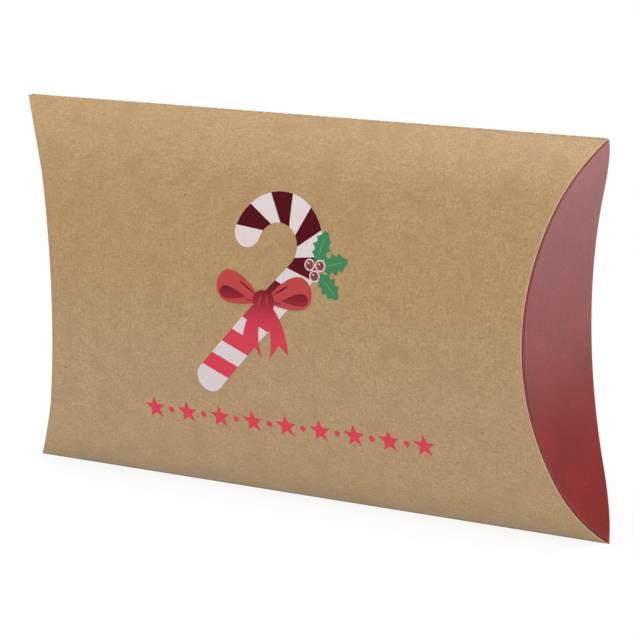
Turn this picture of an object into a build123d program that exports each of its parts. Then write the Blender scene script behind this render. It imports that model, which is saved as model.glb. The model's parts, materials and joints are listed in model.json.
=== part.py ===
from build123d import *
import os
from math import cos, hypot, radians, sin

os.makedirs("parts", exist_ok=True)

# A pillow box of kraft card, closed and standing on its long bottom fold.
# X runs along the box, Y from the front panel to the back panel, Z up.
# The origin is at the middle of the bottom fold. Millimetres and degrees.

# Driving sizes of the closed box
box_length = 267.0  # from tip to tip along the folds
box_height = 150.0  # from fold to fold
box_depth = 52.0  # over the bellies of the two panels
crease_joint = 45.0  # height over the middle where the arcs of a curved end meet
crease_turn = 18.5  # turn of a curved end there, from upright
right_lean = 32.5  # turn of the right end at its tips
left_lean = 53.3  # turn of the left end at its tips, which stand out further
fold_land = 1.0  # the pressed flat along a fold
fold_lean = 54.6  # turn of a panel's face at a fold, from upright
belly_turn = 17.6  # turn of a panel's face where the belly meets a shoulder

# Driving sizes of the card, its bends and its glued seam
card = 0.5  # thickness of the kraft card
bend_bevel = 0.35  # how far the bend of an end flap is eased
fold_strip = 1.6  # height of the creased strip at a fold
bond_gap = 0.3  # between the glue flap and the back panel
bond_play = 0.1  # between the glue and the card on each side of it
seam_width = 14.0  # how far the glue flap reaches down from the top
seam_end_top = 5.0  # the glue flap's ends, set back at the fold
seam_end_low = 18.0  # and at its lower edge
glue_margin = 2.5  # card left bare around the line of glue
inner_reach = 3.0  # how far an inner flap reaches past the middle

# Room between pieces that move apart, and the overrun of every cut
play = 0.25
overrun = 12.0

# Share of a shoulder's turn where its arc takes its middle point
middle_share = 0.5

front = -1
back = 1
left = -1
right = 1
mid_height = box_height / 2

# Each panel is a broad belly arc with a tighter shoulder arc towards each fold.
# The two radii follow from the height, the depth and the two angles.
shoulder_mid = belly_turn + middle_share * (fold_lean - belly_turn)
belly_rise = sin(radians(belly_turn))
belly_drop = 1 - cos(radians(belly_turn))
shoulder_rise = sin(radians(fold_lean)) - belly_rise
shoulder_drop = 1 - belly_drop - cos(radians(fold_lean))
fold_to_belly = (box_depth - fold_land) / 2
spread = belly_rise * shoulder_drop - belly_drop * shoulder_rise
belly_radius = (mid_height * shoulder_drop - fold_to_belly * shoulder_rise) / spread
shoulder_radius = (fold_to_belly * belly_rise - mid_height * belly_drop) / spread
belly_centre = box_depth / 2 - belly_radius

# Seen from the front, a curved end is a middle arc with a tip arc at each side.
# The arcs meet in one tangent, so the tip radius follows from the leans.
end_lean = {right: right_lean, left: left_lean}
crease_radius = crease_joint / sin(radians(crease_turn))
tip_radius = {}
end_centre = {}
for end, lean in end_lean.items():
    tip_rise = sin(radians(lean)) - sin(radians(crease_turn))
    tip_radius[end] = (mid_height - crease_joint) / tip_rise
    middle_bow = crease_radius * (1 - cos(radians(crease_turn)))
    tip_bow = tip_radius[end] * (cos(radians(crease_turn)) - cos(radians(lean)))
    end_centre[end] = box_length / 2 - middle_bow - tip_bow + crease_radius

# Layers of an end, measured inwards from the crease along the arc's radius
outer_layer = card
inner_layer_top = outer_layer + play
inner_layer = inner_layer_top + card
back_setback = outer_layer + play
front_setback = inner_layer + play


def bow_point(wide, tight, joint, turn):
    """Run and rise of a bow of tangent arcs where it has turned this far."""
    bend = max(-joint, min(joint, turn))
    run = wide * cos(radians(bend)) + tight * cos(radians(turn))
    rise = wide * sin(radians(bend)) + tight * sin(radians(turn))
    return run, rise


def profile_point(side, turn, inset):
    """A point of one panel's section, moved in from its face."""
    wide = belly_radius - shoulder_radius
    run, rise = bow_point(wide, shoulder_radius - inset, belly_turn, turn)
    return (side * (belly_centre + run), mid_height + rise)


def end_point(end, turn, setback):
    """A point of one curved end, seen from the front and set back from the crease."""
    wide = crease_radius - tip_radius[end]
    run, rise = bow_point(wide, tip_radius[end] + setback, crease_turn, turn)
    return (end * (end_centre[end] - run), mid_height + rise)


def bow_region(point, joint, lean, toward, mode):
    """The region on the hollow side of a bow of three tangent arcs."""
    middle = joint + middle_share * (lean - joint)
    top = point(lean)
    low = point(-lean)
    run = toward * overrun * sin(radians(lean))
    rise = overrun * cos(radians(lean))
    far = toward * (box_length + overrun)
    with BuildLine() as outline:
        ThreePointArc(low, point(-middle), point(-joint))
        ThreePointArc(point(-joint), point(0), point(joint))
        ThreePointArc(point(joint), point(middle), top)
        Polyline(
            top,
            (top[0] + run, top[1] + rise),
            (far, top[1] + rise),
            (far, low[1] - rise),
            (low[0] + run, low[1] - rise),
            low,
        )
    make_face(outline.edges(), mode=mode)


def panel_side(side, inset, mode):
    """The region behind one panel's face, reaching out past the other panel."""
    bow_region(
        lambda turn: profile_point(side, turn, inset), belly_turn, fold_lean, -side, mode
    )


def end_side(end, setback, mode=Mode.ADD):
    """The region outside one curved end, seen from the front."""
    bow_region(
        lambda turn: end_point(end, turn, setback), crease_turn, end_lean[end], end, mode
    )


def lens(front_inset, back_inset, cap_inset):
    """The box's cross-section, moved in from the front, the back and the folds."""
    panel_side(front, front_inset, Mode.ADD)
    panel_side(back, back_inset, Mode.INTERSECT)
    with Locations((0, mid_height)):
        Rectangle(2 * box_depth, box_height - 2 * cap_inset, mode=Mode.INTERSECT)


def outside_ends(setback):
    """The regions outside both curved ends, which cut a piece to length."""
    with BuildSketch(Plane.XZ) as outside:
        end_side(right, setback)
        end_side(left, setback)
    return outside.sketch


def end_layer(end, outside, inside):
    """A curved layer of one end, seen from the front, between two setbacks."""
    end_side(end, inside)
    end_side(end, outside, Mode.SUBTRACT)


def setback_of(end, x, z):
    """How far a point lies in from an end's curve."""
    run = end_centre[end] - end * x
    rise = abs(z - mid_height)
    if rise * cos(radians(crease_turn)) <= run * sin(radians(crease_turn)):
        return hypot(run, rise) - crease_radius
    wide = crease_radius - tip_radius[end]
    run -= wide * cos(radians(crease_turn))
    rise -= wide * sin(radians(crease_turn))
    return hypot(run, rise) - tip_radius[end]


def bend_edges(piece, end, side):
    """The edges along an end's crease, where a flap bends in from its panel."""
    along_crease = []
    for edge in piece.edges().filter_by(GeomType.LINE, reverse=True):
        middle = edge @ middle_share
        if side * middle.Y > 0 and setback_of(end, middle.X, middle.Z) < bend_bevel:
            along_crease.append(edge)
    return along_crease


# The front panel, from fold to fold, up to the bends of its end flaps
with BuildPart() as front_panel:
    with BuildSketch(Plane.YZ):
        lens(0, 0, 0)
    extrude(amount=box_length / 2, both=True)
    with BuildSketch(Plane.YZ):
        lens(card, card, card)
    extrude(amount=box_length, both=True, mode=Mode.SUBTRACT)
    split(bisect_by=Plane.XZ)
    split(bisect_by=Plane.XY.offset(fold_strip), keep=Keep.TOP)
    split(bisect_by=Plane.XY.offset(box_height - fold_strip), keep=Keep.BOTTOM)
    extrude(outside_ends(front_setback), amount=box_depth, both=True, mode=Mode.SUBTRACT)

# The back panel, whose raw upper edge lies bare along the top of the box
with BuildPart() as back_panel:
    with BuildSketch(Plane.YZ):
        lens(0, 0, 0)
    extrude(amount=box_length / 2, both=True)
    with BuildSketch(Plane.YZ):
        panel_side(back, card, Mode.ADD)
    extrude(amount=box_length, both=True, mode=Mode.SUBTRACT)
    split(bisect_by=Plane.XY.offset(fold_strip), keep=Keep.TOP)
    extrude(outside_ends(back_setback), amount=box_depth, both=True, mode=Mode.SUBTRACT)

# The bottom fold, one pressed crease that joins the panels and carries the box
with BuildPart() as bottom_fold:
    with BuildSketch(Plane.YZ):
        lens(0, 0, 0)
    extrude(amount=box_length / 2, both=True)
    with BuildSketch(Plane.YZ):
        lens(card, card, card)
    extrude(amount=box_length, both=True, mode=Mode.SUBTRACT)
    split(bisect_by=Plane.XY.offset(fold_strip), keep=Keep.BOTTOM)
    extrude(outside_ends(0), amount=box_depth, both=True, mode=Mode.SUBTRACT)

# The sheet turns in over the top fold and runs down inside the back panel
seam_outer = card + bond_gap
seam_inner = seam_outer + card
with BuildPart() as top_sheet:
    with BuildSketch(Plane.YZ):
        lens(0, seam_outer, 0)
    extrude(amount=box_length / 2, both=True)
    with BuildSketch(Plane.YZ):
        lens(card, seam_inner, 0)
    extrude(amount=box_length, both=True, mode=Mode.SUBTRACT)

with BuildPart() as top_fold:
    add(top_sheet.part)
    split(bisect_by=Plane.XY.offset(box_height - fold_strip), keep=Keep.TOP)
    extrude(outside_ends(0), amount=box_depth, both=True, mode=Mode.SUBTRACT)

# The glue flap, cut back at a slant at both ends to clear the end flaps
with BuildPart() as glue_flap:
    add(top_sheet.part)
    split(bisect_by=Plane.XZ, keep=Keep.BOTTOM)
    split(bisect_by=Plane.XY.offset(box_height - fold_strip), keep=Keep.BOTTOM)
    with BuildSketch(Plane.XZ):
        with BuildLine():
            Polyline(
                (box_length / 2 - seam_end_top, box_height),
                (box_length / 2 - seam_end_low, box_height - seam_width),
                (seam_end_low - box_length / 2, box_height - seam_width),
                (seam_end_top - box_length / 2, box_height),
                close=True,
            )
        make_face()
    extrude(amount=box_depth, both=True, mode=Mode.INTERSECT)

# The line of glue that holds the back panel on the glue flap
with BuildPart() as glue_line:
    with BuildSketch(Plane.YZ):
        panel_side(back, card + bond_play, Mode.ADD)
    extrude(amount=box_length / 2 - seam_end_low - glue_margin, both=True)
    with BuildSketch(Plane.YZ):
        panel_side(back, seam_outer - bond_play, Mode.ADD)
    extrude(amount=box_length, both=True, mode=Mode.SUBTRACT)
    split(bisect_by=Plane.XZ, keep=Keep.BOTTOM)
    split(bisect_by=Plane.XY.offset(box_height - seam_width + glue_margin), keep=Keep.TOP)
    split(bisect_by=Plane.XY.offset(box_height - fold_strip - glue_margin), keep=Keep.BOTTOM)

flap_foot = fold_strip + play


def outer_flap(end):
    """An outer end flap, between the curved creases, which turns on the back one."""
    with BuildPart() as flap:
        with BuildSketch(Plane.YZ):
            lens(card + play, 0, flap_foot)
        extrude(amount=end * box_length / 2)
        with BuildSketch(Plane.XZ):
            end_layer(end, 0, outer_layer)
        extrude(amount=box_depth, both=True, mode=Mode.INTERSECT)
        chamfer(bend_edges(flap, end, back), bend_bevel)
    return flap


def lap_space(end):
    """The space that an outer flap takes up inside the bend of its inner flap."""
    with BuildPart() as space:
        with BuildSketch(Plane.YZ):
            panel_side(front, card, Mode.ADD)
        extrude(amount=end * box_length)
        with BuildSketch(Plane.XZ):
            end_side(end, inner_layer_top)
        extrude(amount=2 * box_depth, both=True, mode=Mode.INTERSECT)
    return space.part


def inner_flap(end):
    """An inner end flap, bent in from the front crease and reaching past the middle."""
    with BuildPart() as flap:
        with BuildSketch(Plane.YZ):
            lens(0, back_setback, flap_foot)
        extrude(amount=end * box_length / 2)
        with BuildSketch(Plane.XZ):
            end_layer(end, 0, inner_layer)
        extrude(amount=box_depth, both=True, mode=Mode.INTERSECT)
        chamfer(bend_edges(flap, end, front), bend_bevel)
        add(lap_space(end), mode=Mode.SUBTRACT)
        with BuildSketch(Plane.YZ):
            with BuildLine():
                free_edge = ThreePointArc((0, 0), (inner_reach, mid_height), (0, box_height))
                Polyline(free_edge @ 1, (-box_depth, box_height), (-box_depth, 0), free_edge @ 0)
            make_face()
        extrude(amount=end * box_length, mode=Mode.INTERSECT)
    return flap


pieces = {
    "front_panel": front_panel,
    "back_panel": back_panel,
    "bottom_fold": bottom_fold,
    "top_fold": top_fold,
    "glue_flap": glue_flap,
    "glue_line": glue_line,
    "right_outer_flap": outer_flap(right),
    "right_inner_flap": inner_flap(right),
    "left_outer_flap": outer_flap(left),
    "left_inner_flap": inner_flap(left),
}
for name, piece in pieces.items():
    piece.part.label = name
    export_step(piece.part, f"parts/{name}.step")
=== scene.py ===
# %% [markdown]
# A pillow box of brown kraft card, standing on its long bottom fold.
# The real box is one die-cut sheet, bent over a few creases and glued along the top.
# The CAD frame gives every size and place. This lesson gives each field of the sheet
# its skin of card, its print and its wear, and then sets up a plain photo studio.

# %% Load the frame
import json
from functools import partialmethod
from math import asin, cos, pi, radians, sin, tan

import bmesh
import bpy
import numpy as np
from mathutils import Matrix, Vector


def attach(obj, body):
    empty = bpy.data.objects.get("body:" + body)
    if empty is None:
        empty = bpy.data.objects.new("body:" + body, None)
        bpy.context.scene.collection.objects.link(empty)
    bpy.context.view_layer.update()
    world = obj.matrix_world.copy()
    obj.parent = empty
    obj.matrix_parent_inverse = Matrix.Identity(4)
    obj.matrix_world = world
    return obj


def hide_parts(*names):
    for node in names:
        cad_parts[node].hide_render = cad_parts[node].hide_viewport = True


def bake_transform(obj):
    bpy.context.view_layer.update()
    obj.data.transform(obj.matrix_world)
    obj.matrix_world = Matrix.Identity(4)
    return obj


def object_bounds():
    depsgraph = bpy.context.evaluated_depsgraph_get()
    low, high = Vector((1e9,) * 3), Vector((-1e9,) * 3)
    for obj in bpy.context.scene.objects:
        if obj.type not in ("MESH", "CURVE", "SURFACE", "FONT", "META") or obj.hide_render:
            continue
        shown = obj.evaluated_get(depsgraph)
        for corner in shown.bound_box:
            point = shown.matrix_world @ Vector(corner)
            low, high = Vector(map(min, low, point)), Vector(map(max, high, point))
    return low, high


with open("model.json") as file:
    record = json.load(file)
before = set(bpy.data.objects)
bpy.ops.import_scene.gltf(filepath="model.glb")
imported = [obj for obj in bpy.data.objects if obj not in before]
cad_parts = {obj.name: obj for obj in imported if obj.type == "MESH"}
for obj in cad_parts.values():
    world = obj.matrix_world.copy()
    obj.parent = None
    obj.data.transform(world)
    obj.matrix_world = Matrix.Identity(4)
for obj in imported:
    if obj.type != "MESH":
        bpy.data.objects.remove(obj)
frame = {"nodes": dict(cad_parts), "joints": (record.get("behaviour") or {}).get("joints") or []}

cad_low, cad_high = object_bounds()
print("The CAD box is", [round(1000 * side, 2) for side in cad_high - cad_low], "mm")

# %% [markdown]
# The overall sizes are read from the frame, so the skins stay on the CAD pieces. The
# turns of a panel's face and the card are the same as in the CAD source.

# %% Sizes of the box
mm = 0.001
right = 1
left = -1
sides = {"right": right, "left": left}
tip_x = cad_high.x
half_depth_mid = cad_high.y
mid_height = cad_high.z / 2
hinges = {joint["name"]: Vector(joint["pos_m"]) for joint in frame["joints"]}

card = 0.5 * mm
play = 0.25 * mm
fold_land = 1.0 * mm
fold_strip = 1.6 * mm
belly_turn = radians(17.6)
fold_lean = radians(54.6)
crease_joint = 45 * mm
crease_turn = radians(18.5)
end_lean = {right: radians(32.5), left: radians(53.3)}
dips = [round(hinges[end + "_outer_crease"].x / mm, 1) for end in sides]
print("The ends dip in to", dips, "mm")

# %% [markdown]
# In section each panel is a broad belly arc with a tighter shoulder arc at each side.
# Both arcs meet in one tangent, so their radii follow from the height and the depth.
# A curved end is such a bow too, with a middle arc and a tip arc towards each fold, and
# the left end's tips stand out further. One formula gives the reach of every such bow.

# %% The section and the ends
belly_rise = sin(belly_turn)
belly_drop = 1 - cos(belly_turn)
shoulder_rise = sin(fold_lean) - belly_rise
shoulder_drop = 1 - belly_drop - cos(fold_lean)
fold_to_belly = half_depth_mid - fold_land / 2
spread = belly_rise * shoulder_drop - belly_drop * shoulder_rise
belly_radius = (mid_height * shoulder_drop - fold_to_belly * shoulder_rise) / spread
shoulder_radius = (fold_to_belly * belly_rise - mid_height * belly_drop) / spread
belly_centre = half_depth_mid - belly_radius
wide = belly_radius - shoulder_radius

crease_radius = crease_joint / sin(crease_turn)
tip_radius = {}
end_centre = {}
for side, lean in end_lean.items():
    tip_radius[side] = (mid_height - crease_joint) / (sin(lean) - sin(crease_turn))
    middle_bow = crease_radius * (1 - cos(crease_turn))
    tip_bow = tip_radius[side] * (cos(crease_turn) - cos(lean))
    end_centre[side] = tip_x - middle_bow - tip_bow + crease_radius


def bow_reach(height, loose, tight, joint):
    """How far a bow of tangent arcs reaches from the centre of its middle arc."""
    rise = np.abs(height - mid_height)
    on_middle = np.sqrt(np.maximum((loose + tight) ** 2 - rise**2, 0))
    past = np.clip(rise - loose * sin(joint), 0, tight)
    on_tip = loose * cos(joint) + np.sqrt(tight**2 - past**2)
    return np.where(rise <= (loose + tight) * sin(joint), on_middle, on_tip)


def half_depth(height, inset=0.0):
    """How far the card's face, moved in, lies from the middle plane at a height."""
    return belly_centre + bow_reach(height, wide, shoulder_radius - inset, belly_turn)


def end_x(side, height, setback=0.0):
    """How far out one end of the box reaches at a height, less a setback."""
    tip = tip_radius[side]
    return end_centre[side] - bow_reach(height, crease_radius - tip, tip + setback, crease_turn)


def profile_point(turn, inset=0.0):
    """Depth and height of the card where its face has turned this far, moved in."""
    bend = np.clip(turn, -belly_turn, belly_turn)
    tight = shoulder_radius - inset
    depth = belly_centre + wide * np.cos(bend) + tight * np.cos(turn)
    height = mid_height + wide * np.sin(bend) + tight * np.sin(turn)
    return depth, height


def turn_at(height):
    """The turn of the card's face at a height on a shoulder."""
    rise = abs(height - mid_height)
    side = 1 if height > mid_height else -1
    return side * asin((rise - wide * sin(belly_turn)) / shoulder_radius)


print("Belly and shoulder:", round(belly_radius / mm, 2), round(shoulder_radius / mm, 2))
print("Tips of the ends:", [round(radius / mm, 1) for radius in tip_radius.values()])

# %% [markdown]
# Geometry trees and material trees are both wired from small maths nodes.
# One short class keeps that wiring readable: each call adds one node. A socket gets
# linked, a node stands for its first output, and any other value is typed in.

# %% A helper that wires nodes


class Wiring:
    """Adds nodes to one tree."""

    def __init__(self, tree):
        self.tree = tree

    def feed(self, socket, value):
        if isinstance(value, bpy.types.Node):
            value = value.outputs[0]
        if isinstance(value, bpy.types.NodeSocket):
            self.tree.links.new(value, socket)
        else:
            socket.default_value = value

    def fill(self, made, values):
        """Feeds a node's inputs by their names."""
        for name, value in values.items():
            self.feed(made.inputs[name.replace("_", " ")], value)
        return made

    def node(self, kind, settings=None, **values):
        made = self.tree.nodes.new(kind)
        for name, value in (settings or {}).items():
            setattr(made, name, value)
        return self.fill(made, values)

    def row(self, made, *values):
        """Feeds a node's inputs in their order."""
        for socket, value in zip(made.inputs, values):
            self.feed(socket, value)
        return made

    def math(self, operation, *values):
        return self.row(self.node("ShaderNodeMath", {"operation": operation}), *values)

    plus = partialmethod(math, "ADD")
    minus = partialmethod(math, "SUBTRACT")
    times = partialmethod(math, "MULTIPLY")
    larger = partialmethod(math, "MAXIMUM")
    over = partialmethod(math, "GREATER_THAN")
    absolute = partialmethod(math, "ABSOLUTE")

    def clamp(self, value, low, high):
        return self.larger(self.math("MINIMUM", value, high), low)

    def slant(self, first, second):
        """The long side of a right triangle."""
        return self.math("SQRT", self.plus(self.times(first, first), self.times(second, second)))

    def leg(self, slant, leg):
        """The other leg of a right triangle."""
        return self.math("SQRT", self.minus(self.times(slant, slant), self.times(leg, leg)))

    def choose(self, switch, off, on):
        """The first number where a switch is 0, and the second where it is 1."""
        return self.plus(off, self.times(switch, self.minus(on, off)))

    def vector(self, x, y, z):
        return self.node("ShaderNodeCombineXYZ", X=x, Y=y, Z=z)

    def parts(self, vector):
        return self.node("ShaderNodeSeparateXYZ", Vector=vector).outputs

    def ramp(self, value, low, high, start=0.0, end=1.0):
        """Start below low, end above high, and a smooth step between them."""
        limits = {"From_Min": low, "From_Max": high, "To_Min": start, "To_Max": end}
        return self.node("ShaderNodeMapRange", {"interpolation_type": "SMOOTHSTEP"}, Value=value, **limits)

    def blend(self, share, first, second):
        """A colour between two colours."""
        made = self.node("ShaderNodeMix", {"data_type": "RGBA"})
        for index, value in ((0, share), (6, first), (7, second)):
            self.feed(made.inputs[index], value)
        return made.outputs[2]

    def either(self, share, first, second):
        """A mix of two shaders."""
        return self.row(self.node("ShaderNodeMixShader"), share, first, second)


def colour(red, green, blue):
    """A screen's colour, from 0 to 255, in Blender's light values."""
    shares = [part / 255 for part in (red, green, blue)]
    light = [s / 12.92 if s <= 0.04045 else ((s + 0.055) / 1.055) ** 2.4 for s in shares]
    return (*light, 1.0)


print("Wiring is ready")

# %% [markdown]
# The finish of kraft card comes from its making: short brown fibres pressed flat.
# From a step away they read as a fine even grain, so one noise makes the grain and two
# stretched ones make crossing fibres. Rare dark flecks are bits of bark. Noises are
# counted in bumps a metre, and places are in metres on the object itself. A flap that
# bends carries its resting places along, so that its pattern never slides.

# %% Kraft card
kraft_pale = colour(192, 159, 113)
kraft_dark = colour(159, 126, 81)
kraft_shade = colour(164, 130, 85)
fleck_brown = colour(96, 66, 38)
bare_core = colour(205, 180, 145)
# A brown of painted shade, for the bottom fold and the left creases.
painted_shade_brown = colour(112, 82, 56)
grain_scale = 1300
grain_share = 0.55
fibre_scale = 1900
fibre_stretch = 0.14
fleck_scale = 150
fleck_size = 0.05
rare_chance = (0.84, 0.9)


class Finish(Wiring):
    """A material of one shader, and the resting places on its piece."""

    def __init__(self, name, carried=False):
        self.material = bpy.data.materials.new(name)
        self.material.use_nodes = True
        super().__init__(self.material.node_tree)
        self.tree.nodes.clear()
        self.shader = self.node("ShaderNodeBsdfPrincipled")
        self.output = self.node("ShaderNodeOutputMaterial", Surface=self.shader)
        if carried:
            self.place = self.carried("rest_place").outputs["Vector"]
        else:
            self.place = self.node("ShaderNodeTexCoord").outputs["Object"]

    def carried(self, name):
        """What each point of the piece carries along."""
        return self.node("ShaderNodeAttribute", {"attribute_name": name})

    def noise(self, scale, stretch=(1, 1, 1), detail=3.0, turn=0.0):
        """Noise that is longer along one axis by a stretch."""
        mapping = self.node("ShaderNodeMapping", Vector=self.place, Scale=stretch, Rotation=(0, turn, 0))
        made = self.node("ShaderNodeTexNoise", Vector=mapping, Scale=scale, Detail=detail)
        return made.outputs["Fac"]

    def mottle(self):
        """Fine even grain with two layers of crossing fibres."""
        grain = self.noise(grain_scale)
        fibres = self.noise(fibre_scale, (fibre_stretch, 1, 1), 2, 0.35)
        crossing = self.noise(fibre_scale, (1, 1, fibre_stretch), 2, 0.3)
        tangle = self.times(self.plus(fibres, crossing), (1 - grain_share) / 2)
        return self.plus(self.times(grain, grain_share), tangle)

    def kraft(self):
        """The card's colour, with soft clouds and rare flecks, and its mottle."""
        mottle = self.mottle()
        tone = self.blend(self.ramp(mottle, 0.3, 0.7), kraft_dark, kraft_pale)
        clouds = self.noise(110, detail=5)
        tone = self.blend(self.ramp(clouds, 0.42, 0.7, 0, 0.5), tone, kraft_shade)
        flecks = self.node("ShaderNodeTexVoronoi", Vector=self.place, Scale=fleck_scale).outputs
        chance, size, _ = self.parts(flecks["Color"])
        from_fleck = self.minus(flecks["Distance"], self.times(size, fleck_size))
        spot = self.times(self.ramp(from_fleck, 0.05, 0.03), self.ramp(chance, *rare_chance))
        return self.blend(self.times(spot, 0.55), tone, fleck_brown), mottle

    def close(self, tone, roughness, height, depth, **more):
        """Feeds the shader, with a relief of a depth in metres, and gives the material."""
        bump = self.node("ShaderNodeBump", Height=height, Strength=1.0, Distance=depth)
        self.fill(self.shader, {"Base Color": tone, "Roughness": roughness, "Normal": bump, **more})
        return self.material


print("Kraft card has", grain_scale, "grains and", fleck_scale, "flecks a metre")

# %% [markdown]
# The face is a little smoother than the back. The top fold and the right creases are
# worn pale, while the fold that the box stands on and the left creases are darkened
# brown as painted shade, for the shade under the fold and on the left edge that turns
# away from the light. How near a crease is comes from its own arcs.

# %% The face of the card
worn_band = (1.5 * mm, 0.7 * mm)
worn_fold = (0.8 * mm, 0.3 * mm)
worn_share = 0.45
# Where the painted shade lies: near the left creases and along the bottom fold.
shaded_crease_band = (1.1 * mm, 0.5 * mm)
shaded_fold_band = (1.7 * mm, 0.6 * mm)
painted_shade_share = 0.6
worn_wobble = 0.6 * mm


def crease_distance(look, x, z, on_right):
    """How far in a place lies from the curved crease of its end."""

    def by_end(values):
        return look.math("MULTIPLY_ADD", on_right, values[right] - values[left], values[left])

    run = look.minus(by_end(end_centre), look.absolute(x))
    rise = look.absolute(look.minus(z, mid_height))
    tip = by_end(tip_radius)
    loose = look.minus(crease_radius, tip)
    run_past = look.minus(run, look.times(loose, cos(crease_turn)))
    rise_past = look.minus(rise, look.times(loose, sin(crease_turn)))
    on_middle = look.minus(look.slant(run, rise), crease_radius)
    on_tip = look.minus(look.slant(run_past, rise_past), tip)
    return look.choose(look.over(rise, look.times(run, tan(crease_turn))), on_middle, on_tip)


def kraft_face():
    """The outer side of the card, worn pale at some creases and folds, with painted shade at the others."""
    look = Finish("kraft_outside")
    tone, mottle = look.kraft()
    wobble = look.times(look.noise(500), worn_wobble)
    x, _, z = look.parts(look.place)
    on_right = look.over(x, 0.0)
    near = look.plus(crease_distance(look, x, z, on_right), wobble)
    below_top = look.plus(look.minus(2 * mid_height, z), wobble)
    at_right = look.times(look.ramp(near, *worn_band), on_right)
    worn = look.larger(at_right, look.ramp(below_top, *worn_fold))
    tone = look.blend(look.times(worn, worn_share), tone, bare_core)
    # Painted shade: the left creases and the bottom fold are darkened brown.
    left_shade = look.choose(on_right, look.ramp(near, *shaded_crease_band), 0.0)
    painted_shade = look.larger(left_shade, look.ramp(look.plus(z, wobble), *shaded_fold_band))
    tone = look.blend(look.times(painted_shade, painted_shade_share), tone, painted_shade_brown)
    gloss = look.ramp(mottle, 0.35, 0.65, 0.47, 0.4)
    return look.close(tone, gloss, mottle, depth=0.03 * mm, Specular_IOR_Level=0.65)


kraft_outside = kraft_face()
print("Face:", kraft_outside.name)

# %% [markdown]
# Inside the box the card is unprinted and rougher, and a cut edge shows its plies.
# Both are the same stock, so they reuse the card's colour with small changes. The cut
# edge of a red flap is a dark red-brown: partly stained by its ink, and partly painted
# shade for the narrow gap it lies in.

# %% The inside and the cut edge


def kraft_back(name, carried=False):
    """The unprinted side, duller and rougher than the face."""
    look = Finish(name, carried)
    tone, mottle = look.kraft()
    dull = look.blend(0.25, tone, kraft_dark)
    return look.close(dull, roughness=0.8, height=mottle, depth=0.05 * mm, Specular_IOR_Level=0.2)


def cut_edge(name, ply_tone, carried=False):
    """The raw edge, where plies of torn fibre show."""
    look = Finish(name, carried)
    plies = look.noise(1500)
    tone = look.blend(look.ramp(plies, 0.35, 0.65), colour(160, 132, 96), ply_tone)
    return look.close(tone, roughness=0.85, height=plies, depth=0.05 * mm)


kraft_inside = kraft_back("kraft_inside")
flap_inside = kraft_back("flap_inside", carried=True)
kraft_cut = cut_edge("kraft_cut", bare_core)
# The flap's cut edge: ink stain, darkened further as painted shade of its gap.
flap_cut = cut_edge("flap_cut", colour(150, 84, 66), carried=True)
print("Plain card:", kraft_inside.name, kraft_cut.name)

# %% [markdown]
# The end flaps are flooded with red ink that ends at the crease. There the ink cracks
# as the card bends, and a pale line of bare fibre shows. The rim of the free edge is
# duller. Each flap carries its distances from both, so the lines follow its bend.

# %% Red ink on the end flaps
ink_red = colour(156, 34, 40)
ink_deep = colour(146, 31, 37)
ink_cracked = colour(226, 176, 150)
crack_band = (0.3 * mm, 0.1 * mm)
bare_band = (-0.1 * mm, -0.25 * mm)
rim_band = (1 * mm, 1.6 * mm)
crack_wobble = 0.3 * mm


def red_face(name):
    """Satin red ink over kraft card, cracked along the crease."""
    look = Finish(name, carried=True)
    tone, mottle = look.kraft()
    wobble = look.times(look.minus(look.noise(600), 0.5), crack_wobble)
    past = look.plus(look.carried("past_crease").outputs["Fac"], wobble)
    ink = look.blend(look.ramp(look.noise(55), 0.35, 0.65), ink_deep, ink_red)
    ink = look.blend(look.ramp(mottle, 0.4, 0.66, 0, 0.1), ink, kraft_pale)
    ink = look.blend(look.ramp(past, *crack_band), ink, ink_cracked)
    ink = look.blend(look.ramp(past, *bare_band), ink, tone)
    off_rim = look.ramp(look.carried("to_free_edge").outputs["Fac"], *rim_band)
    on_ink = look.times(look.ramp(past, *crack_band[::-1]), off_rim)
    gloss = look.choose(on_ink, 0.7, look.ramp(mottle, 0.35, 0.65, 0.35, 0.28))
    return look.close(ink, gloss, mottle, depth=0.02 * mm, Specular_IOR_Level=0.68)


red_outside = red_face("red_outside")
print("Red ink:", red_outside.name)

# %% [markdown]
# The print on the front is of four kinds: white ink, matte red ink, green ink and a
# hot-stamped red foil. The foil is metal, so it is dark where it mirrors the dim side
# of the room and bright where it mirrors the floor.

# %% Inks and foil
foil_finish = {"roughness": 0.22, "worn_at": 0.68, "worn_share": 0.35, "depth": 0.004 * mm, "metal": 1.0}


def ink(name, tone, worn_tone, roughness=0.5, worn_at=0.66, worn_share=0.4, depth=0.012 * mm, metal=0.0):
    """Flat ink or foil, a little uneven where the card's fibres show through."""
    look = Finish(name)
    mottle = look.mottle()
    cover = look.blend(look.ramp(mottle, 0.5, worn_at, 0, worn_share), tone, worn_tone)
    return look.close(cover, roughness, mottle, depth, Metallic=metal)


white_ink = ink("white_ink", colour(218, 206, 208), colour(206, 190, 184), roughness=0.55)
red_ink = ink("red_ink", colour(190, 56, 56), colour(172, 68, 62))
berry_ink = ink("berry_ink", colour(140, 52, 50), colour(130, 74, 62))
green_ink = ink("green_ink", colour(50, 132, 80), colour(84, 134, 86))
vein_ink = ink("leaf_vein_ink", colour(104, 160, 108), colour(110, 146, 100))
red_foil = ink("red_foil", colour(213, 68, 85), colour(192, 78, 82), **foil_finish)
print("Print:", white_ink.name, red_ink.name, green_ink.name, red_foil.name)

# %% [markdown]
# Geometry Nodes make a panel, because its shape follows a rule: a flat grid is
# curled to the section and trimmed to the curved ends. The section is a node group
# of its own, since the print is laid on the panel by the same rule later.

# %% The section as a node group
section_sizes = {
    "Belly Radius": belly_radius,
    "Shoulder Radius": shoulder_radius,
    "Belly Turn": belly_turn,
    "Half Depth": half_depth_mid,
    "Mid Height": mid_height,
}


def numbers(*names):
    return dict.fromkeys(names, "Float")


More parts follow.
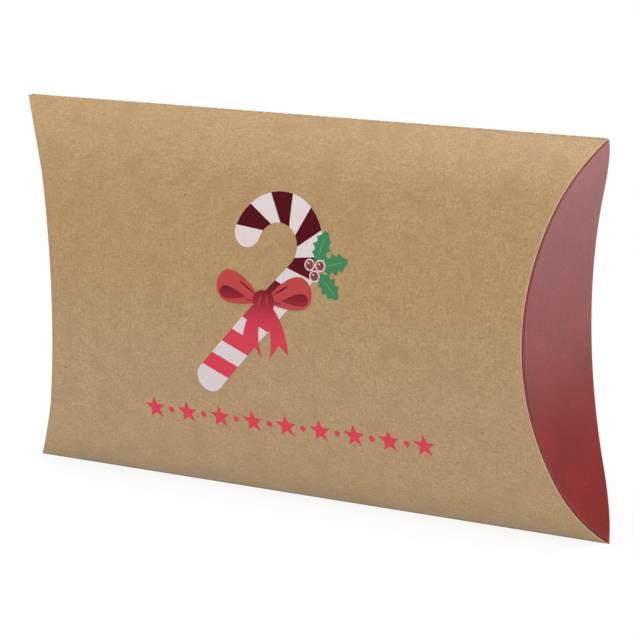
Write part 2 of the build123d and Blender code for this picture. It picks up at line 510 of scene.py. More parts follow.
class Plan(Wiring):
    """A geometry tree with named inputs and outputs."""

    def __init__(self, name, inputs, outputs):
        super().__init__(bpy.data.node_groups.new(name, "GeometryNodeTree"))
        for in_out, sockets in (("INPUT", inputs), ("OUTPUT", outputs)):
            for socket, kind in sockets.items():
                self.tree.interface.new_socket(socket, in_out=in_out, socket_type="NodeSocket" + kind)
        self.entry = self.node("NodeGroupInput").outputs

    def group(self, group, names=(), **values):
        """A group node that takes its named sizes from the tree's own inputs."""
        own = {name: self.entry[name] for name in names}
        return self.node("GeometryNodeGroup", {"node_tree": group}, **own, **values)

    def close(self, **values):
        """Feeds the tree's outputs and gives the tree."""
        self.node("NodeGroupOutput", **values)
        return self.tree


def section_group():
    """From a turn and a lift above the card to a depth and a height."""
    plan = Plan("card_section", numbers("Turn", "Lift", *section_sizes), numbers("Depth", "Height"))
    entry = plan.entry
    belly_end = entry["Belly Turn"]
    bend = plan.clamp(entry["Turn"], plan.times(belly_end, -1), belly_end)
    gap = plan.minus(entry["Belly Radius"], entry["Shoulder Radius"])
    tight = plan.plus(entry["Shoulder Radius"], entry["Lift"])

    def from_centre(operation, centre):
        on_belly = plan.times(gap, plan.math(operation, bend))
        on_shoulder = plan.times(tight, plan.math(operation, entry["Turn"]))
        return plan.plus(centre, plan.plus(on_belly, on_shoulder))

    centre = plan.minus(entry["Half Depth"], entry["Belly Radius"])
    height = from_centre("SINE", entry["Mid Height"])
    return plan.close(Depth=from_centre("COSINE", centre), Height=height)


card_section = section_group()
print("Section group has", len(card_section.nodes), "nodes")

# %% [markdown]
# Card has a thickness, so every sheet is closed: the face is pushed inwards along its
# normals, which also makes the cut edges, and doubled edges are merged. Each surface
# takes its own material, and the edges between them are marked sharp for the shading.

# %% Thickness as a node group
sharp_turn = radians(50)
weld = 0.001 * mm
surfaces = ("Face", "Back", "Cut")


def thickness_group():
    """Closes an open sheet into a slab: face, back and cut edge."""
    inputs = {"Sheet": "Geometry", "Thickness": "Float", **dict.fromkeys(surfaces, "Material")}
    plan = Plan("sheet_thickness", inputs, {"Slab": "Geometry"})
    sheet = plan.entry["Sheet"]

    def paint(part, surface, **where):
        return plan.node("GeometryNodeSetMaterial", Geometry=part, Material=plan.entry[surface], **where)

    inward = plan.times(plan.entry["Thickness"], -1)
    pushed = plan.node("GeometryNodeExtrudeMesh", Mesh=sheet, Offset_Scale=inward, Individual=False)
    rim = pushed.outputs["Side"]
    turned = plan.node("GeometryNodeFlipFaces", Mesh=pushed)
    cut = paint(paint(turned, "Back"), "Cut", Selection=rim)
    flat = plan.node("GeometryNodeSetShadeSmooth", Geometry=cut, Selection=rim, Shade_Smooth=False)
    joined = plan.node("GeometryNodeJoinGeometry")
    for part in (paint(sheet, "Face"), flat):
        plan.feed(joined.inputs[0], part)
    merged = plan.node("GeometryNodeMergeByDistance", Geometry=joined, Distance=weld)
    angle = plan.node("GeometryNodeInputMeshEdgeAngle").outputs["Unsigned Angle"]
    settings = {"data_type": "BOOLEAN", "domain": "EDGE"}
    values = {"Geometry": merged, "Name": "sharp_edge", "Value": plan.over(angle, sharp_turn)}
    return plan.close(Slab=plan.node("GeometryNodeStoreNamedAttribute", settings, **values))


sheet_thickness = thickness_group()
print("Thickness group has", len(sheet_thickness.nodes), "nodes")

# %% [markdown]
# The panel tree itself. Along the grid's one side the place becomes a turn, and along
# the other it becomes a share of the distance to the curved end at that height.

# %% The panel tree
end_sizes = {
    "Crease Radius": crease_radius,
    "Crease Turn": crease_turn,
    "Right Tip": tip_radius[right],
    "Right Centre": end_centre[right],
    "Left Tip": tip_radius[left],
    "Left Centre": end_centre[left],
}
panel_names = ("Side", "Low Turn", "High Turn", "Setback", "Thickness")


def reach_group():
    """The reach of a bow of tangent arcs at a rise from its middle."""
    plan = Plan("bow_reach", numbers("Rise", "Loose", "Tight", "Joint"), numbers("Reach"))
    rise, loose, tight, joint = plan.entry[:4]
    rise = plan.absolute(rise)
    sine = plan.math("SINE", joint)
    whole = plan.plus(loose, tight)
    past = plan.minus(rise, plan.times(loose, sine))
    on_tip = plan.plus(plan.times(loose, plan.math("COSINE", joint)), plan.leg(tight, past))
    beyond = plan.over(rise, plan.times(whole, sine))
    return plan.close(Reach=plan.choose(beyond, plan.leg(whole, rise), on_tip))


bow_reach_group = reach_group()


def panel_tree():
    """A bowed panel of card with concave ends."""
    inputs = {"Columns": "Int", "Rows": "Int", **dict.fromkeys(surfaces, "Material")}
    inputs.update(numbers(*panel_names, *section_sizes, *end_sizes))
    plan = Plan("bowed_panel", inputs, {"Geometry": "Geometry"})
    entry = plan.entry
    counts = {"Vertices X": entry["Columns"], "Vertices Y": entry["Rows"]}
    grid = plan.node("GeometryNodeMeshGrid", **counts, Size_X=2.0, Size_Y=1.0)
    across, along, _ = plan.parts(plan.node("GeometryNodeInputPosition"))
    sweep = plan.minus(entry["High Turn"], entry["Low Turn"])
    turn = plan.plus(plan.times(plan.plus(along, 0.5), sweep), entry["Low Turn"])
    depth, height = plan.group(card_section, section_sizes, Turn=turn).outputs
    rise = plan.minus(height, entry["Mid Height"])
    ends = []
    for end in ("Left", "Right"):
        loose = plan.minus(entry["Crease Radius"], entry[end + " Tip"])
        tight = plan.plus(entry[end + " Tip"], entry["Setback"])
        bow = plan.group(bow_reach_group, Rise=rise, Loose=loose, Tight=tight, Joint=entry["Crease Turn"])
        ends.append(plan.minus(entry[end + " Centre"], bow))
    reach = plan.choose(plan.over(across, 0.0), *ends)
    place = plan.vector(plan.times(across, reach), plan.times(depth, entry["Side"]), height)
    curled = plan.node("GeometryNodeSetPosition", Geometry=grid, Position=place)
    turned = plan.node("GeometryNodeFlipFaces", Mesh=curled, Selection=plan.over(entry["Side"], 0))
    smooth = plan.node("GeometryNodeSetShadeSmooth", Geometry=turned)
    slab = plan.group(sheet_thickness, ("Thickness", *surfaces), Sheet=smooth)
    return plan.close(Geometry=plan.node("GeometryNodeRealizeInstances", Geometry=slab))


bowed_panel = panel_tree()
print("Panel tree has", len(bowed_panel.nodes), "nodes")

# %% [markdown]
# A tree is run on an empty mesh object, and its result is kept as a plain mesh.
# The inputs are set by their identifiers before the object is first evaluated.

# %% Run a tree


def new_object(name, data):
    """An object at the origin, in the scene."""
    made = bpy.data.objects.new(name, data)
    bpy.context.scene.collection.objects.link(made)
    return made


def run_tree(name, tree, values, mesh=None):
    """A new object whose mesh is what the tree makes."""
    piece = new_object(name, mesh or bpy.data.meshes.new(name))
    modifier = piece.modifiers.new("shape", "NODES")
    modifier.node_group = tree
    for item in tree.interface.items_tree:
        if item.in_out == "INPUT" and item.name in values:
            modifier[item.identifier] = values[item.name]
    graph = bpy.context.evaluated_depsgraph_get()
    made = bpy.data.meshes.new_from_object(piece.evaluated_get(graph), depsgraph=graph)
    piece.modifiers.clear()
    piece.data = made
    made.name = name
    return piece


def tell(piece):
    """Prints the size of a finished piece and its faces."""
    points = np.array([v.co for v in piece.data.vertices])
    size = [float(round(side / mm, 1)) for side in np.ptp(points, axis=0)]
    print(piece.name, size, "mm,", len(piece.data.polygons), "faces")


def stand_for(skin, node):
    """Puts a skin of plain card in the place of its CAD node."""
    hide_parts(node)
    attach(skin, "box")
    tell(skin)


print("Trees take", len(bowed_panel.interface.items_tree), "sockets here")

# %% [markdown]
# The front panel runs from the round of one fold to the round of the other. The back
# panel's upper edge is raw: it lies bare along the top of the box, which shows as a
# thin pale line. Both panels run on to where the flaps start to bend in.

# %% Front and back panels
bend_setback = card + play
seam_inset = card + 0.3 * mm
nose_radius = fold_land / 2 * cos(fold_lean) / (1 - sin(fold_lean))
top_radius = 0.7 * mm
seam_shift = seam_inset / cos(fold_lean) / 2
apex = 2 * mid_height + (fold_land / 2 - seam_shift) / tan(fold_lean)
top_middle = (-seam_shift, apex - top_radius / sin(fold_lean))
low_turn = turn_at(nose_radius * (1 - sin(fold_lean)))
top_turn = turn_at(top_middle[1] + top_radius * sin(fold_lean))
stock = dict(zip(surfaces, (kraft_outside, kraft_inside, kraft_cut)))
panel_sizes = {"Columns": 161, "Rows": 109, "Low Turn": low_turn, "Setback": bend_setback}
panel_sizes.update({"Thickness": card, **stock, **section_sizes, **end_sizes})

for panel, side, high_turn in (("front_panel", -1.0, top_turn), ("back_panel", 1.0, fold_lean)):
    values = {**panel_sizes, "Side": side, "High Turn": high_turn}
    stand_for(run_tree(panel + "_skin", bowed_panel, values), panel)

# %% [markdown]
# The other sheets are narrow or bent twice, so they are written as two grids of
# points, a face and a back. A helper closes the two grids into a slab of card.

# %% Card from two grids


def card_sheet(name, face, back, materials):
    """A closed slab between two grids, with materials for face, back and cut edge."""
    rows, columns = face.shape[:2]
    top = np.arange(rows * columns).reshape(rows, columns)
    under = top + rows * columns
    shape = bmesh.new()
    corners = [shape.verts.new(p) for p in np.concatenate([face.reshape(-1, 3), back.reshape(-1, 3)])]

    def strip(first, second, slot):
        for places in zip(first, first[1:], second[1:], second):
            made = shape.faces.new([corners[i] for i in places])
            made.material_index = slot
            made.smooth = slot < 2

    for r in range(rows - 1):
        strip(top[r], top[r + 1], 0)
        strip(under[r], under[r + 1], 1)
    for index in (0, -1):
        strip(top[index], under[index], 2)
        strip(top[:, index], under[:, index], 2)
    bmesh.ops.recalc_face_normals(shape, faces=shape.faces)
    for edge in shape.edges:
        edge.smooth = edge.calc_face_angle(0) < sharp_turn
    mesh = bpy.data.meshes.new(name)
    shape.to_mesh(mesh)
    shape.free()
    for material in materials:
        mesh.materials.append(material)
    return new_object(name, mesh)


print("Sheets close with", card / mm, "mm of card")

# %% [markdown]
# The bottom fold is one pressed crease, rounded as thick card is, and the box stands
# on it. At the top the sheet rounds over in the same way, but a little further in, and
# runs down inside the back panel. Each fold is a section swept along the box.

# %% Bottom and top folds
nose_turns = np.linspace(fold_lean, pi - fold_lean, 12)
inner_turns = np.linspace(fold_lean, turn_at(2 * mid_height - fold_strip), 4)[1:]
fold_shares = np.linspace(-1, 1, 131)
nose_middle = (0.0, nose_radius)
insets = (0.0, card)


def round_part(middle, radius, upward):
    """The round of a fold, from the front face over to the back one."""
    depth = middle[0] - radius * np.cos(nose_turns)
    height = middle[1] + upward * radius * np.sin(nose_turns)
    return np.stack([depth, height], axis=1)


def top_section(inset):
    """The round of the top fold, and the card from there down to the glue flap."""
    inner = np.stack(profile_point(inner_turns, seam_inset + inset), axis=1)
    return np.concatenate([round_part(top_middle, top_radius - inset, 1), inner])


def fold_row(y, z):
    """One line along the box, between the curved ends at its height."""
    reach = {side: end_x(side, z) for side in (right, left)}
    return [(share * reach[right if share > 0 else left], y, z) for share in fold_shares]


def fold_skin(node, sections):
    """A fold from end to end of the box, standing for its CAD node."""
    grids = [np.array([fold_row(y, z) for y, z in section]) for section in sections]
    stand_for(card_sheet(node + "_skin", *grids, stock.values()), node)


fold_skin("bottom_fold", [round_part(nose_middle, nose_radius - inset, -1) for inset in insets])
fold_skin("top_fold", [top_section(inset) for inset in insets])

# %% [markdown]
# The glue flap and the line of glue are plain CAD pieces inside the box. They show
# only when an end stands open, so they keep their CAD shape and get a better finish.

# %% The seam inside


def glue_finish():
    """Dried dispersion glue, milky and a little glossy."""
    look = Finish("dried_glue")
    lumps = look.noise(400)
    tone = look.blend(lumps, colour(222, 208, 178), colour(200, 180, 142))
    return look.close(tone, roughness=0.35, height=lumps, depth=0.1 * mm)


for node, material in (("glue_flap", kraft_inside), ("glue_line", glue_finish())):
    for slot in frame["nodes"][node].material_slots:
        slot.material = material
    print(node, "keeps its CAD shape with", material.name)

# %% [markdown]
# An outer flap bends off the back panel, runs across the end and stops just short of
# the front crease, where its cut edge shows. Every level of the end is the same plan:
# a strip of the panel, a quarter round for the bend, and a straight run across.

# %% Outer end flaps
bend_radius = 0.6 * mm
flap_foot = 0.6 * mm
flap_rows = 161
bend_steps = 7
outer_span = 29
edge_gap = card + play + 0.2 * mm
flap_turn = turn_at(2 * mid_height - flap_foot)
level = profile_point(np.linspace(-flap_turn, flap_turn, flap_rows))[1]
quarter = np.linspace(0, pi / 2, bend_steps)


def grid_of(side, columns):
    """Columns of places across a flap, each with an X and a Y for every level."""
    return np.stack([np.stack([side * x, y, level], axis=1) for x, y in columns], axis=1)


def bent_columns(near, rim, start, drop, turns):
    """Columns round a bend."""
    return [(near + (rim - near) * sin(turn), start + drop * (1 - cos(turn))) for turn in turns]


def straight_columns(x, start, free, span):
    """Columns of a straight run to the free edge."""
    return [(x, start + share * (free - start)) for share in np.linspace(0, 1, span)]


def outer_columns(side, inset):
    """The plan of the outer flap at each level, on its face or moved in to its back."""
    near = end_x(side, level, bend_radius)
    rim = end_x(side, level, inset)
    outside = half_depth(level, inset)
    bent = half_depth(level, bend_radius)
    bend = bent_columns(near, rim, outside, bent - outside, quarter)
    run = straight_columns(rim, bent, -half_depth(level, edge_gap), outer_span)
    return [(end_x(side, level, bend_setback), outside)] + bend + run[1:]


def past_outer():
    """The distance of each column past the crease, in the middle of its bend."""
    bend = bend_radius * (quarter - pi / 4)
    run = np.linspace(0, 2 * half_depth_mid, outer_span)[1:] + bend[-1]
    return np.concatenate([[bend[0] - (bend_setback - bend_radius)], bend, run])


def carry(skin, name, kind, values):
    """Stores what each point of a skin carries along."""
    stored = skin.data.attributes.new(name, kind, "POINT").data
    stored.foreach_set("value" if kind == "FLOAT" else "vector", values.astype(np.float32).ravel())


def flap_skin(end, kind, face, back, past):
    """A red flap on one end, standing in the place of its CAD node."""
    node = f"{end}_{kind}_flap"
    grids = [grid_of(sides[end], columns) for columns in (face, back)]
    skin = card_sheet(node + "_skin", *grids, (red_outside, flap_inside, flap_cut))
    places = np.array([v.co for v in skin.data.vertices], np.float32)
    steps = np.linalg.norm(np.diff(places.reshape(2 * flap_rows, len(past), 3), axis=1), axis=2)
    along = np.pad(np.cumsum(steps, axis=1), ((0, 0), (1, 0)))
    carry(skin, "rest_place", "FLOAT_VECTOR", places)
    carry(skin, "past_crease", "FLOAT", np.tile(past, 2 * flap_rows))
    carry(skin, "to_free_edge", "FLOAT", along[:, -1:] - along)
    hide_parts(node)
    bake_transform(skin)
    tell(skin)


for end, side in sides.items():
    flap_skin(end, "outer", *[outer_columns(side, inset) for inset in insets], past_outer())

# %% [markdown]
# An inner flap bends off the front panel. The crease stands up as a rounded ridge,
# behind which the flap drops by the thickness of the outer flap that lies over it.
# Its free edge is a shallow arc that reaches just past the middle of the box.

# %% Inner end flaps
ridge = 0.3 * mm
tuck = card + play
inner_reach = 3.0 * mm
inner_span = 19
ridge_turns = np.linspace(0, pi, 2 * bend_steps)
crack_turn = radians(40)


def inner_run(side, setback):
    """The flat run under the outer flap, to the free edge."""
    free = inner_reach * (1 - ((level - mid_height) / mid_height) ** 2)
    start = -half_depth(level, card + ridge / 3)
    return straight_columns(end_x(side, level, setback), start, free, inner_span)


def inner_face_columns(side):
    """The plan of the inner flap's face: strip, ridge, drop and run."""
    outside = half_depth(level)
    behind = half_depth(level, card)
    strip = [(end_x(side, level, setback), -outside) for setback in (bend_setback, 2 * ridge)]
    near = end_x(side, level, ridge)
    bend = bent_columns(near, end_x(side, level), -outside, (outside - behind) / 2, ridge_turns)
    return strip + bend + [(end_x(side, level, tuck - ridge / 3), -behind)] + inner_run(side, tuck)


def inner_back_columns(side):
    """The plan of its back, with one column for each column of the face."""
    behind = half_depth(level, card)
    setbacks = np.linspace(bend_setback, tuck + card, len(ridge_turns) + 3)
    return [(end_x(side, level, setback), -behind) for setback in setbacks] + inner_run(side, tuck + card)


def past_inner():
    """The distance of each column past the front of the ridge, where the ink cracks."""
    over = ridge * (ridge_turns - crack_turn)
    before = [over[0] - (bend_setback - ridge), over[0] - ridge]
    run = np.linspace(0, half_depth_mid, inner_span) + over[-1] + 2 * ridge
    return np.concatenate([before, over, [over[-1] + ridge], run])


for end, side in sides.items():
    flap_skin(end, "inner", inner_face_columns(side), inner_back_columns(side), past_inner())

# %% [markdown]
# The print is drawn flat, in places along the box and up its curve from the middle,
# and is then laid on the panel by the section group, like a label that is rubbed down.
# Each ink is a closed film a few hundredths of a millimetre thick. A flat shape is cut
# across every two millimetres first, so that it can follow the curve. The motif is a
# plain striped cane with a bow and holly, built from arcs, straight runs and formulas.

# %% Print laid on the panel
ink_lift = 0.03 * mm
film = 0.01 * mm
cut_step = 2.0 * mm


def print_tree():
    """Lays a flat mesh on the front panel and closes it into a film."""
    inputs = {"Flat": "Geometry", "Ink": "Material", **numbers("Lift", "Film", *section_sizes)}
    plan = Plan("print_on_panel", inputs, {"Geometry": "Geometry"})
    entry = plan.entry
    along, up, _ = plan.parts(plan.node("GeometryNodeInputPosition"))
    belly_end = plan.times(entry["Belly Radius"], entry["Belly Turn"])
    on_belly = plan.clamp(up, plan.times(belly_end, -1), belly_end)
    past = plan.math("DIVIDE", plan.minus(up, on_belly), entry["Shoulder Radius"])
    turn = plan.plus(plan.math("DIVIDE", on_belly, entry["Belly Radius"]), past)
    depth, height = plan.group(card_section, ("Lift", *section_sizes), Turn=turn).outputs
    place = plan.vector(along, plan.times(depth, -1), height)
    laid = plan.node("GeometryNodeSetPosition", Geometry=entry["Flat"], Position=place)
    real = plan.node("GeometryNodeRealizeInstances", Geometry=laid)
    inked = dict.fromkeys(surfaces, entry["Ink"])
    thickness = plan.plus(entry["Lift"], entry["Film"])
    return plan.close(Geometry=plan.group(sheet_thickness, Sheet=real, Thickness=thickness, **inked))


print_on_panel = print_tree()


def flat_mesh(name, outlines):
    """A flat mesh of outlines in millimetres, cut across in even steps."""
    shape = bmesh.new()
    for outline in outlines:
        shape.faces.new([shape.verts.new((x * mm, y * mm, 0)) for x, y in outline])
    heights = [v.co.y for v in shape.verts]
    for y in np.arange(min(heights) + cut_step, max(heights), cut_step):
        everything = [*shape.verts, *shape.edges, *shape.faces]
        bmesh.ops.bisect_plane(shape, geom=everything, plane_co=(0, y, 0), plane_no=(0, 1, 0))
    shape.normal_update()
    turned = [face for face in shape.faces if face.normal.z < 0]
    bmesh.ops.reverse_faces(shape, faces=turned)
    bmesh.ops.triangulate(shape, faces=[face for face in shape.faces if len(face.verts) > 4])
    mesh = bpy.data.meshes.new(name)
    shape.to_mesh(mesh)
    shape.free()
    return mesh


def lay_print(name, material, layer, flat):
    """One ink of the print, on its layer above the card."""
    values = {"Lift": layer * ink_lift, "Film": film, "Ink": material, **section_sizes}
    piece = run_tree(name, print_on_panel, values, flat)
    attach(piece, "box")
    tell(piece)


def print_inks(*inks):
    """Prints inks one over the other, each from its outlines."""
    for name, slot, material, layer, outlines in inks:
        lay_print(name, material, layer, flat_mesh(name + "_flat", outlines))


print("The print tree has", len(print_on_panel.nodes), "nodes")

# %% [markdown]
# The cane is one ribbon: a straight staff and an arc that turns back on itself. A place
# on it is named by the run along it and the distance across it. White ink floods the
# whole ribbon and the foil stripes lie over it, each cut at the same slant. All sizes
# of the print are in millimetres.

# %% The cane
cane_foot = np.array([-28.5, -26.0])
cane_lean = radians(45.5)
staff_run = 62.0
hook_radius = 14.8
hook_turn = radians(208)
cane_half = 5.9
stripe_slant = -0.4
stripe_count = 8
stripe_start = 0.3
cane_run = staff_run + hook_radius * hook_turn


def ways(turn):
    """A unit step in a direction, and one to its left."""
    return np.array([cos(turn), sin(turn)]), np.array([-sin(turn), cos(turn)])


staff_way, staff_side = ways(cane_lean)
hook_middle = cane_foot + staff_run * staff_way + hook_radius * staff_side


def cane_place(run, across):
    """A place on the cane, with across counted to its left."""
    if run <= staff_run:
        return cane_foot + run * staff_way + across * staff_side
    turn = cane_lean + (run - staff_run) / hook_radius
    return hook_middle - (hook_radius - across) * ways(turn)[1]


def cane_band(low, high):
    """The part of the ribbon between two slanted cuts, or to a rounded end."""
    shares = np.linspace(0, 1, max(2, int((high - low) / 1.5)))
    edges = []
    for across in (-cane_half, cane_half):
        runs = np.clip(low + shares * (high - low) + stripe_slant * across, 0, cane_run)
        edges.append([cane_place(run, across) for run in runs])
    return edges[0] + edges[1][::-1]


def round_end(middle, way, side):
    """The round end of the ribbon, past a middle."""
    turns = np.linspace(0, pi, 14)[1:-1]
    return [middle + cane_half * (cos(t) * side + sin(t) * way) for t in turns]


def cane_outline():
    """The whole ribbon with its two round ends."""
    runs = np.concatenate([[0.0], np.linspace(staff_run, cane_run, 40)])
    rights = [cane_place(run, -cane_half) for run in runs]
    lefts = [cane_place(run, cane_half) for run in runs[::-1]]
    head_way, head_side = ways(cane_lean + hook_turn)
    head = round_end(cane_place(cane_run, 0.0), head_way, -head_side)
    return rights + head + lefts + round_end(cane_foot, -staff_way, staff_side)


stripe_step = cane_run / stripe_count
starts = (np.arange(stripe_count) + stripe_start) * stripe_step
stripes = [cane_band(start, start + stripe_step / 2) for start in starts]
print_inks(
    ("print_cane_white", "print_white", white_ink, 1, [cane_outline()]),
    ("print_cane_stripes", "print_red_foil", red_foil, 2, stripes),
)

# %% [markdown]
# The bow is symmetrical about the knot: two loops drawn by a petal formula, a smaller
# petal in each for its hollow, two tails that widen to a notch, and an oval knot.

# %% The bow
bow_middle = np.array([-1.0, 7.0])
loop_turns = (radians(16), radians(164))
tail_turns = ((radians(-48), radians(-26)), (radians(-132), radians(26)))
tail_length = 22.0
tail_root = 1.6
tail_flare = 3.0
notch_share = 0.8
knot_gather = np.array([1.7, 0.0])


def swollen(middle, direction, start, stop, shares, widths):
    """An outline that swells by widths on both sides of a straight spine."""
    way, side = ways(direction)
    spine = [middle + (start + share * (stop - start)) * way for share in shares]
    upper = [place + width * side for place, width in zip(spine, widths)]
    lower = [place - width * side for place, width in zip(spine, widths)]
    return upper + lower[-2:0:-1]


def petal(middle, direction, start, stop, half_width, blunt=3.0):
    """A loop that swells from a point to a round end."""
    shares = np.sin(np.linspace(0, pi / 2, 24))
    swell = 1.2 * half_width * shares**0.8 * np.sqrt(1 - shares**blunt)
    return swollen(middle, direction, start, stop, shares, swell)


def tail(direction, bend):
    """A ribbon tail from the knot, widening to a notched end."""
    edges = {1: [], -1: []}
    for share in np.linspace(0, 1, 12):
        way, side = ways(direction + bend * share)
        for sign, edge in edges.items():
            half = tail_root + tail_flare * share
            edge.append(bow_middle + share * tail_length * way + sign * half * side)
    notch = bow_middle + notch_share * tail_length * ways(direction + notch_share * bend)[0]
    return edges[1] + [notch] + edges[-1][::-1]


def oval(middle, half_long, half_high, points=28):
    """An oval, as a list of places round it."""
    turns = np.linspace(0, 2 * pi, points, endpoint=False)
    return [middle + np.array([half_long * cos(t), half_high * sin(t)]) for t in turns]


hollows = []
folds = []
gathers = []
for side, turn in zip((right, left), loop_turns):
    hollows.append(petal(bow_middle, turn - side * radians(9), 8.5, 20.5, 3.0, 4.0))
    for lean, stop in ((16, 13.0), (-17, 8.0)):
        folds.append(petal(bow_middle, turn + side * radians(lean), 4.0, stop, 0.55, 2.0))
    gathers.append(petal(bow_middle + side * knot_gather, radians(90 + side * 12), -2.6, 2.9, 0.4, 2.0))
tails = [tail(turn, bend) for turn, bend in tail_turns]
loops = [petal(bow_middle, turn, 1.0, 22.5, 8.6) for turn in loop_turns]
print_inks(
    ("print_bow_tails", "print_red_foil", red_foil, 3, tails),
    ("print_bow_loops", "print_red", red_ink, 4, loops),
    ("print_bow_folds", "print_red_foil", red_foil, 5, hollows + folds),
    ("print_bow_knot", "print_red_foil", red_foil, 6, [oval(bow_middle, 5.0, 4.4)]),
    ("print_bow_gathers", "print_red", red_ink, 7, gathers),
)

# %% [markdown]
# A holly leaf is a petal whose edge dips in a hollow between each two spines. Three
# leaves fan out beside the hook, each with a vein, and three berries with white rims
# sit where their stems meet.

# %% The holly
sprig = np.array([22.0, 21.5])
leaf_turns = (radians(74), radians(16), radians(-44))
leaf_spines = 4
spine_dip = 0.36
leaf_start = 2.5
leaf_stop = 15.0
leaf_half = 4.3
berry_turns = (radians(150), radians(270), radians(30))
berry_step = 2.75
rim_radius = 2.3
berry_radius = 1.75
glint = np.array([-0.5, 0.6])


def holly_leaf(direction):
    """A leaf whose edge dips between its spines."""
    shares = np.linspace(0, 1, 8 * leaf_spines + 1)
    spine_edge = 1 - spine_dip * np.abs(np.sin(leaf_spines * pi * shares)) ** 1.2
    swell = leaf_half * np.sin(pi * shares) ** 0.6 * spine_edge
    return swollen(sprig, direction, leaf_start, leaf_stop, shares, swell)


berries = [sprig + berry_step * ways(turn)[0] for turn in berry_turns]
rims = [oval(berry, rim_radius, rim_radius) for berry in berries]
fruit = [oval(berry, berry_radius, berry_radius) for berry in berries]
glints = [oval(berry + glint, 0.4, 0.35, 10) for berry in berries]
leaves = [holly_leaf(turn) for turn in leaf_turns]
veins = [petal(sprig, turn, leaf_start + 1, leaf_stop - 2, 0.3, 2.0) for turn in leaf_turns]
print_inks(
    ("print_holly_leaves", "print_green", green_ink, 3, leaves),
    ("print_holly_veins", "print_green", vein_ink, 4, veins),
    ("print_holly_rims", "print_white", white_ink, 5, rims),
    ("print_holly_berries", "print_red", berry_ink, 6, fruit),
    ("print_holly_glints", "print_white", white_ink, 7, glints),
)

# %% [markdown]
# Under the motif runs a plain border of stars and dots. It repeats along a straight
# line, so Geometry Nodes place instances of a star and of a dot at even steps.

# %% The border of stars
border_sizes = {"Star Radius": 4.9 * mm, "Dot Radius": 1.25 * mm, "Step": 15.6 * mm}
border_sizes.update({"Height": -42.5 * mm, "Middle": 4.5 * mm})
star_count = 9
star_waist = 0.42


def border_tree():
    """Stars along a line with a dot between each two, still flat."""
    inputs = {"Stars": "Int", "Ink": "Material", **numbers(*border_sizes)}
    plan = Plan("star_border", inputs, {"Geometry": "Geometry"})
    entry = plan.entry
    joined = plan.node("GeometryNodeJoinGeometry")
    radius = entry["Star Radius"]
    waist = plan.times(radius, star_waist)
    star = plan.node("GeometryNodeCurveStar", Points=5, Twist=0.0, Outer_Radius=radius, Inner_Radius=waist)
    upright = plan.node("GeometryNodeTransform", Geometry=star, Rotation=(0, 0, pi / 2))
    filled = plan.node("GeometryNodeFillCurve", Curve=upright)
    disc = plan.node("GeometryNodeMeshCircle", {"fill_type": "TRIANGLE_FAN"}, Radius=entry["Dot Radius"])
    for shape, fewer in ((filled, 0), (disc, 1)):
        fine = plan.node("GeometryNodeSubdivideMesh", Mesh=shape, Level=2 - fewer)
        count = plan.minus(entry["Stars"], fewer)
        span = plan.times(plan.minus(count, 1), entry["Step"])
        first = plan.minus(entry["Middle"], plan.times(span, 0.5))
        start = plan.vector(first, entry["Height"], 0.0)
        step = plan.vector(entry["Step"], 0.0, 0.0)
        line = plan.node("GeometryNodeMeshLine", Count=count, Start_Location=start, Offset=step)
        plan.feed(joined.inputs[0], plan.node("GeometryNodeInstanceOnPoints", Points=line, Instance=fine))
    real = plan.node("GeometryNodeRealizeInstances", Geometry=joined)
    return plan.close(Geometry=plan.node("GeometryNodeSetMaterial", Geometry=real, Material=entry["Ink"]))


flat_border = run_tree("flat_border", border_tree(), {"Stars": star_count, "Ink": red_foil, **border_sizes})
border_mesh = flat_border.data
bpy.data.objects.remove(flat_border)
lay_print("print_star_border", red_foil, 1, border_mesh)

# %% [markdown]
# The floor is a pale table top. To rays that come neither from the camera nor from a
# mirror it is partly a glowing surface, a painted glow that lights the box from below.
# It reads as white to the camera and to metal, while it keeps a faint share of the
# box's shadow, and its glow in reflections is dimmed right by the box as a painted
# contact shadow. Reflections see a dim room behind the camera, so the foil turns dark
# where it faces up to it.

# %% Floor and room
floor_half = 12.0
sweep_near = 0.28
sweep_far = 0.75
shadow_near = 0.1
shadow_far = 0.35
shadow_hidden = 0.9
# A painted contact shadow in reflections: the floor's glow dims within this reach.
contact_reach = 0.03
contact_shadow_glow = 0.5
# The share of painted glow that the floor shows to light on its way to the box.
painted_glow_share = 0.55
room_glow = 0.12
tent_wall = 0.06
tent_top = 1.2


def ray_kinds(wiring):
    """Whether a ray comes from the camera, and whether from a mirroring surface."""
    rays = wiring.node("ShaderNodeLightPath").outputs
    return rays["Is Camera Ray"], wiring.larger(rays["Is Glossy Ray"], rays["Is Transmission Ray"])


def studio_floor():
    """White to the camera, a painted glow from below, a painted contact shadow in reflections, and a faint
    shadow.
    """
    look = Finish("studio_floor")
    look.fill(look.shader, {"Base Color": (0.93, 0.93, 0.93, 1), "Roughness": 0.9})
    x, y, _ = look.parts(look.place)
    distance = look.slant(look.larger(look.minus(look.absolute(x), tip_x), 0.0), y)
    camera_ray, mirrored = ray_kinds(look)
    nearby = look.ramp(distance, sweep_far, sweep_near, room_glow, 1.0)
    # Painted contact shadow: in reflections the floor's glow dims close to the box.
    nearby = look.times(nearby, look.ramp(distance, 0.0, contact_reach, contact_shadow_glow, 1.0))
    glow = look.node("ShaderNodeEmission", Strength=look.choose(mirrored, 1.0, nearby))
    hidden = look.ramp(distance, shadow_near, shadow_far, shadow_hidden, 1.0)
    # Painted glow: other rays see the floor partly as a glowing surface, which lights the box from below.
    seen = look.larger(look.choose(camera_ray, painted_glow_share, hidden), mirrored)
    look.fill(look.output, {"Surface": look.either(seen, look.shader, glow)})
    return look.material


floor_mesh = bpy.data.meshes.new("floor")
corners = [(x * floor_half, y * floor_half, 0) for x, y in ((-1, -1), (1, -1), (1, 1), (-1, 1))]
floor_mesh.from_pydata(corners, [], [(0, 1, 2, 3)])
floor_mesh.materials.append(studio_floor())
new_object("floor", floor_mesh)

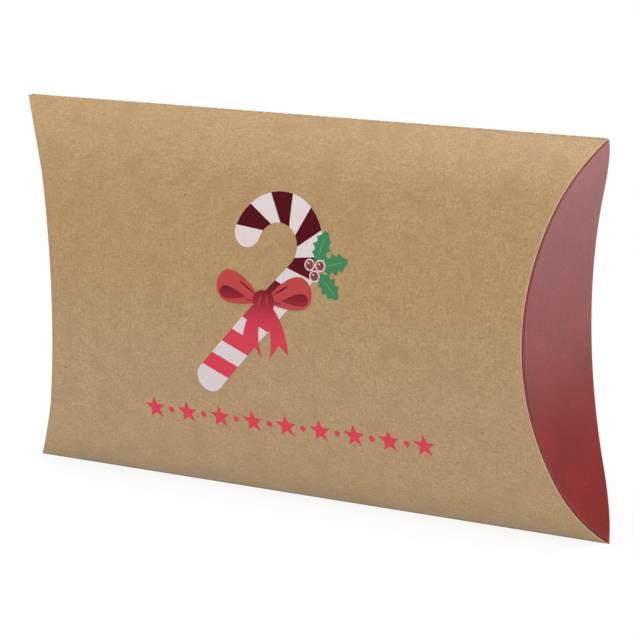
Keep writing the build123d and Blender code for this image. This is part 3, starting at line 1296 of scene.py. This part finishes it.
room = bpy.data.worlds.new("room")
bpy.context.scene.world = room
room.use_nodes = True
room.node_tree.nodes.clear()
sky = Wiring(room.node_tree)
camera_ray, mirrored = ray_kinds(sky)
upward = sky.parts(sky.node("ShaderNodeTexCoord").outputs["Generated"])[2]
tent = sky.math("MULTIPLY_ADD", sky.larger(upward, 0.0), tent_top, tent_wall)
glow = sky.choose(mirrored, tent, room_glow)
dim = sky.node("ShaderNodeBackground", Color=(1.0, 0.995, 0.98, 1), Strength=glow)
white = sky.node("ShaderNodeBackground", Color=(1, 1, 1, 1), Strength=1.0)
sky.node("ShaderNodeOutputWorld", Surface=sky.either(camera_ray, dim, white))
print("The floor is", 2 * floor_half, "m wide")

# %% [markdown]
# Most of the light comes from the room, which is bright overhead and dark at the
# horizon, as under a large white ceiling. The floor throws it back up under the belly,
# with its own painted glow added.
# A soft lamp overhead adds a gleam along the shoulder, and a weak one on the left lifts
# the front and stays out of reflections.

# %% Lamps
box_middle = Vector((0, 0, mid_height))


def softbox(name, place, size, power, mirrored):
    """A square area lamp that points to the middle of the box."""
    lamp = bpy.data.lights.new(name, "AREA")
    lamp.size = size
    lamp.energy = power
    stand = new_object(name, lamp)
    stand.location = place
    stand.rotation_euler = (box_middle - Vector(place)).to_track_quat("-Z", "Y").to_euler()
    stand.visible_glossy = mirrored


softbox("lamp_above", (0.0, -0.3, 1.4), size=1.1, power=10.5, mirrored=True)
softbox("lamp_left", (-1.1, -1.3, 0.35), size=0.7, power=2.5, mirrored=False)

# %% [markdown]
# The camera stands in front and to the right of the box, a little above it. Its angles
# and its long lens come from fitting the box's edges to the photograph's.

# %% Camera
azimuth = radians(34.41)
elevation = radians(11.9)
roll = radians(-1.134)
camera_distance = 1.182
lens = 174.5
camera_target = Vector((0.00566, 0, 0.0719))

tilted = Matrix.Rotation(azimuth, 4, "Z") @ Matrix.Rotation(pi / 2 - elevation, 4, "X")
aimed = Matrix.Translation(camera_target) @ tilted @ Matrix.Rotation(roll, 4, "Z")
camera = new_object("camera", bpy.data.cameras.new("camera"))
camera.matrix_world = aimed @ Matrix.Translation((0, 0, camera_distance))
camera.data.lens = lens
bpy.context.scene.camera = camera
print("Lens", camera.data.lens, "mm")

# %% [markdown]
# The picture is shown as it is lit, with no look or grade added.

# %% Finish
bpy.context.scene.view_settings.view_transform = "Standard"
